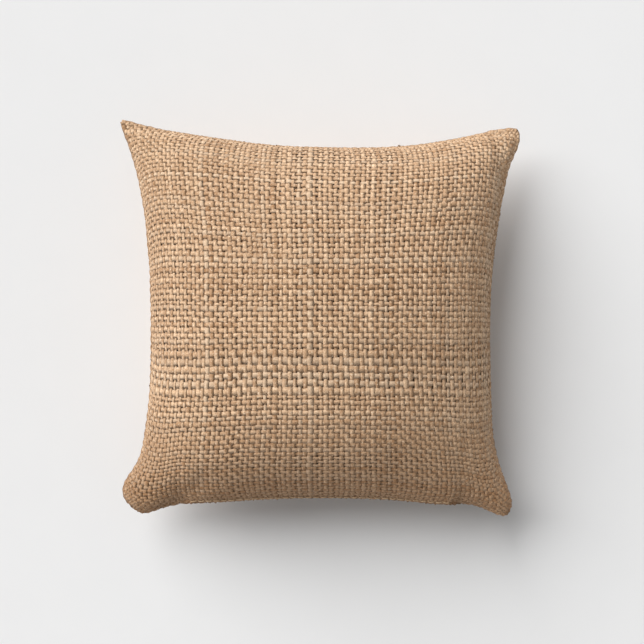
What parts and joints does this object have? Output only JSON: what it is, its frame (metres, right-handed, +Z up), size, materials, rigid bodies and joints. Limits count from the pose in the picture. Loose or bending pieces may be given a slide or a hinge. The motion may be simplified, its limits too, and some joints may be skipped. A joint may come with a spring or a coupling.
{
  "type": "ring bearer pillow",
  "caption": "Small square burlap pillow for a wedding ring bearer: plump jute cover with soft ears, hidden zip and a stuffed cotton insert.",
  "frame": {"origin": "on the table under the middle of the pillow, which lies on its back panel", "axes": "+X along the zipped bottom seam towards the closed end of the zip, +Y from that seam to the top seam, +Z up out of the front panel"},
  "size_m": [0.1936, 0.1956, 0.0735],
  "materials": {
    "burlap": "coarse plain-weave natural jute",
    "thread": "tan polyester sewing thread",
    "label": "blank white satin ribbon label",
    "zip_tape": "woven beige polyester tape",
    "zip_coil": "beige nylon coil",
    "zip_metal": "antique-brass plated zinc",
    "insert_cotton": "plain unbleached cotton",
    "insert_thread": "white polyester thread",
    "fibre": "loose white polyester fibre"
  },
  "bodies": {
    "pillow": {"front_panel": "burlap", "back_panel": "burlap", "cover_seam_thread": "thread", "cover_overlock_thread": "thread", "care_label": "label", "zip_tape_upper": "zip_tape", "zip_tape_lower": "zip_tape", "zip_coil_upper": "zip_coil", "zip_coil_lower": "zip_coil", "zip_top_stops": "zip_metal", "zip_bottom_stop": "zip_metal", "zip_topstitch_upper": "thread", "zip_topstitch_lower": "thread", "zip_bar_tacks": "thread", "insert_front_shell": "insert_cotton", "insert_back_shell": "insert_cotton", "insert_overlock_thread": "insert_thread", "insert_closing_stitches": "insert_thread", "insert_label": "label", "fibre_fill": "fibre"},
    "zip_slider": {"zip_slider": "zip_metal"},
    "zip_pull": {"zip_pull": "zip_metal"}
  },
  "joints": [
    {"name": "zip_slide", "type": "slide", "parent": "pillow", "child": "zip_slider", "axis": [-1, 0, 0], "range_m": [0, 0.104], "deforming": ["zip_coil_upper", "zip_coil_lower"]},
    {"name": "zip_pull_hinge", "type": "hinge", "parent": "zip_slider", "child": "zip_pull", "pos_m": [0.0598, -0.08604, 0.03], "axis": [0, 0, 1], "range_deg": [0, 120]}
  ]
}
